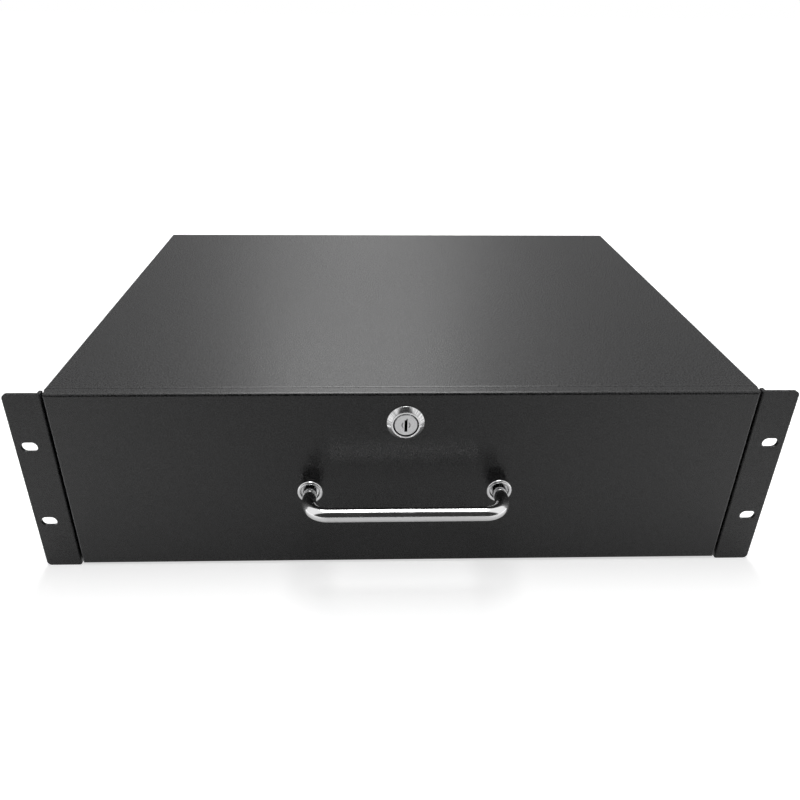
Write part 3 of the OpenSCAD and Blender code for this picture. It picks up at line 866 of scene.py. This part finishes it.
# Width of the camera's sensor in millimetres, and the nearest and furthest that it sees in metres
SENSOR_WIDTH = 36.0
NEAREST = 0.01
FURTHEST = 200.0


def softbox(name, spot, target, size, brightness):
    """A square-cornered lamp of the given brightness, turned to a point."""
    lamp = bpy.data.lights.new(name, "AREA")
    lamp.shape = "RECTANGLE"
    lamp.size, lamp.size_y = size
    lamp.energy = brightness * pi * size[0] * size[1]
    holder = bpy.data.objects.new(name, lamp)
    holder.location = spot
    holder.rotation_euler = (Vector(target) - Vector(spot)).to_track_quat("-Z", "Y").to_euler()
    holder.visible_camera = False
    bpy.context.scene.collection.objects.link(holder)


def seen_rays(tree):
    """1 where a surface is seen directly, in metal or through glass, and 0 where it only lights others."""
    rays = tree.nodes.new("ShaderNodeLightPath").outputs
    seen = rays["Is Camera Ray"]
    for name in ("Is Glossy Ray", "Is Transmission Ray"):
        seen = wired(tree, "ShaderNodeMath", seen, rays[name], operation="MAXIMUM").outputs[0]
    return seen


def floor_paper(studio, centre):
    """White floor paper that keeps the part's shadow near it and fades to plain white further out."""
    material, tree, shader, coords = new_finish("floor_paper")
    tree.nodes.remove(shader)
    paper = wired(tree, "ShaderNodeBsdfDiffuse", shade(studio.floor))
    reach = wired(tree, "ShaderNodeVectorMath", coords, centre, operation="DISTANCE").outputs["Value"]
    fade = ranged(tree, reach, studio.floor_lift, 1.0, *studio.floor_fade)
    lift = wired(tree, "ShaderNodeMath", seen_rays(tree), fade, operation="MULTIPLY")
    glow = wired(tree, "ShaderNodeEmission", WHITE, lift.outputs[0])
    both = wired(tree, "ShaderNodeAddShader", paper.outputs[0], glow.outputs[0])
    feed(tree, tree.nodes["Material Output"].inputs["Surface"], both.outputs[0])
    return material


def aside(tree, coords, lean):
    """Distance from the middle plane with a share of the height added, and the height."""
    split = wired(tree, "ShaderNodeSeparateXYZ", coords).outputs
    off = wired(tree, "ShaderNodeMath", split["X"], operation="ABSOLUTE").outputs[0]
    reach = wired(tree, "ShaderNodeMath", split["Z"], lean, off, operation="MULTIPLY_ADD").outputs[0]
    return reach, split["Z"]


def cloth(name, grey, lean, thin, thick, weave=(0.0, 1.0)):
    """Cloth for the reflections that glows with its own grey and is not lit, thin at one distance from the
    middle plane and thick at another.
    """
    material, tree, shader, coords = new_finish(name)
    tree.nodes.remove(shader)
    reach, height = aside(tree, coords, lean)
    cloth_glow = wired(tree, "ShaderNodeEmission", WHITE, ranged(tree, height, *grey, *GLOW_SPAN))
    cover = ranged(tree, reach, *weave, thin, thick)
    clear = wired(tree, "ShaderNodeBsdfTransparent")
    mixed = wired(tree, "ShaderNodeMixShader", cover, clear.outputs[0], cloth_glow.outputs[0])
    feed(tree, tree.nodes["Material Output"].inputs["Surface"], mixed.outputs[0])
    return material


def sheet(name, size, spot, material, upright=False):
    """A flat sheet of the stage, lying or hung upright."""
    bm = bmesh.new()
    bmesh.ops.create_grid(bm, x_segments=1, y_segments=1, size=0.5)
    bmesh.ops.scale(bm, verts=bm.verts, vec=(*size, 1.0))
    if upright:
        bmesh.ops.rotate(bm, verts=bm.verts, cent=(0, 0, 0), matrix=Matrix.Rotation(pi / 2, 3, "X"))
    bmesh.ops.translate(bm, verts=bm.verts, vec=spot)
    thing = as_object(name, bm)
    thing.data.materials.append(material)
    return thing


def hang_cloths(studio, ground):
    """Hangs a dark card in front, grey flags behind and a painted shadow of the camera on the floor, for
    the reflections only.
    """
    half, gap = studio.card_half, studio.flag_gap
    dark = cloth("dark_cloth", (studio.card, studio.card), studio.card_lean, half + studio.card_fade, half)
    grey = cloth("grey_cloth", studio.flag, studio.flag_lean, gap, gap + studio.flag_fade,
                 studio.flag_weave)
    # Painted shadow: a black sheet over the floor in front, seen only in reflections and darkest in its
    # middle
    camera_shadow = cloth("camera_shadow", (0.0, 0.0), 0.0, studio.shade_edge, studio.shade_core, studio.shade)
    up = Vector((0.0, 0.0, ground))
    cloths = (
        sheet("card", studio.card_size, up + Vector(studio.card_place), dark, upright=True),
        sheet("flags", studio.flag_size, up + Vector(studio.flag_place), grey, upright=True),
        sheet("front_shade", studio.shade_size, up + Vector(studio.shade_place), camera_shadow),
    )
    for thing in cloths:
        for kind in ("camera", "diffuse", "transmission", "shadow"):
            setattr(thing, "visible_" + kind, False)


def light_room(scene, studio):
    """A dim white room that looks plain white where it is seen."""
    world = bpy.data.worlds.new("studio")
    world.use_nodes = True
    scene.world = world
    tree = world.node_tree
    brightness = ranged(tree, seen_rays(tree), studio.room, 1.0, start=0.0, end=1.0)
    set_shader(tree, tree.nodes["Background"], {"Color": WHITE, "Strength": brightness})


def aim_camera(scene, studio):
    """Sets up the camera with its pan, tilt, roll and shift."""
    pan, tilt, roll = studio.camera_turn
    ahead = Vector((-cos(tilt) * sin(pan), cos(tilt) * cos(pan), -sin(tilt)))
    level = Vector((cos(pan), sin(pan), 0.0))
    above = Vector((-sin(tilt) * sin(pan), sin(tilt) * cos(pan), cos(tilt)))
    right = cos(roll) * level + sin(roll) * above
    up = cos(roll) * above - sin(roll) * level
    lens = bpy.data.cameras.new("camera")
    lens.sensor_width = SENSOR_WIDTH
    lens.lens = studio.lens
    lens.shift_x, lens.shift_y = studio.camera_shift
    lens.clip_start = NEAREST
    lens.clip_end = FURTHEST
    camera = bpy.data.objects.new("camera", lens)
    turn = Matrix((right, up, -ahead)).transposed().to_4x4()
    camera.matrix_world = Matrix.Translation(studio.camera_place) @ turn
    scene.collection.objects.link(camera)
    scene.camera = camera


class RACKDRAWER_OT_set_stage(bpy.types.Operator):
    """Lays the floor, hangs the cloths and lamps and sets up the camera"""
    bl_idname = "rack_drawer.set_stage"
    bl_label = "Set Stage"

    def execute(self, context):
        scene = context.scene
        studio = scene.rack_drawer_studio
        ground = CAD_BOX[0][2]
        middle = (CAD_BOX[0][1] + CAD_BOX[1][1]) / 2
        paper = floor_paper(studio, (0, middle, ground))
        sheet("floor", (FLOOR_SIDE, FLOOR_SIDE), (0, 0, ground), paper)
        hang_cloths(studio, ground)
        below = (*studio.overhead_place[:2], 0.0)
        softbox("overhead", studio.overhead_place, below, studio.overhead_size, studio.overhead)
        softbox("rear", studio.rear_place, studio.rear_target, studio.rear_size, studio.rear)
        light_room(scene, studio)
        aim_camera(scene, studio)
        scene.view_settings.view_transform = "Standard"
        return {"FINISHED"}


# Add-on

class RACKDRAWER_PT_panel(bpy.types.Panel):
    """Lists the steps and their settings in the sidebar of the 3D view"""
    bl_label = "Rack Drawer"
    bl_idname = "RACKDRAWER_PT_panel"
    bl_space_type = "VIEW_3D"
    bl_region_type = "UI"
    bl_category = "Rack Drawer"

    def draw(self, context):
        layout = self.layout
        for operator in OPERATORS:
            layout.operator(operator.bl_idname)
        for name, group in GROUPS.items():
            box = layout.box()
            for key in group.__annotations__:
                box.prop(getattr(context.scene, name), key)


GROUPS = {
    "rack_drawer_coat": RACKDRAWER_PG_coat,
    "rack_drawer_metal": RACKDRAWER_PG_metal,
    "rack_drawer_hardware": RACKDRAWER_PG_hardware,
    "rack_drawer_lock": RACKDRAWER_PG_lock,
    "rack_drawer_studio": RACKDRAWER_PG_studio,
}
OPERATORS = (
    RACKDRAWER_OT_coat_sheet,
    RACKDRAWER_OT_plate_slides,
    RACKDRAWER_OT_fit_screws,
    RACKDRAWER_OT_polish_chrome,
    RACKDRAWER_OT_fit_lock,
    RACKDRAWER_OT_set_stage,
)


def register():
    """Adds the settings, operators and panel to Blender."""
    for name, group in GROUPS.items():
        bpy.utils.register_class(group)
        setattr(bpy.types.Scene, name, bpy.props.PointerProperty(type=group))
    for cls in (*OPERATORS, RACKDRAWER_PT_panel):
        bpy.utils.register_class(cls)


def unregister():
    """Takes them out again."""
    for cls in (RACKDRAWER_PT_panel, *reversed(OPERATORS)):
        bpy.utils.unregister_class(cls)
    for name, group in reversed(GROUPS.items()):
        delattr(bpy.types.Scene, name)
        bpy.utils.unregister_class(group)


def main():
    """Runs every step in order."""
    register()
    for operator in OPERATORS:
        group, name = operator.bl_idname.split(".")
        getattr(getattr(bpy.ops, group), name)()


if __name__ == "__main__":
    main()
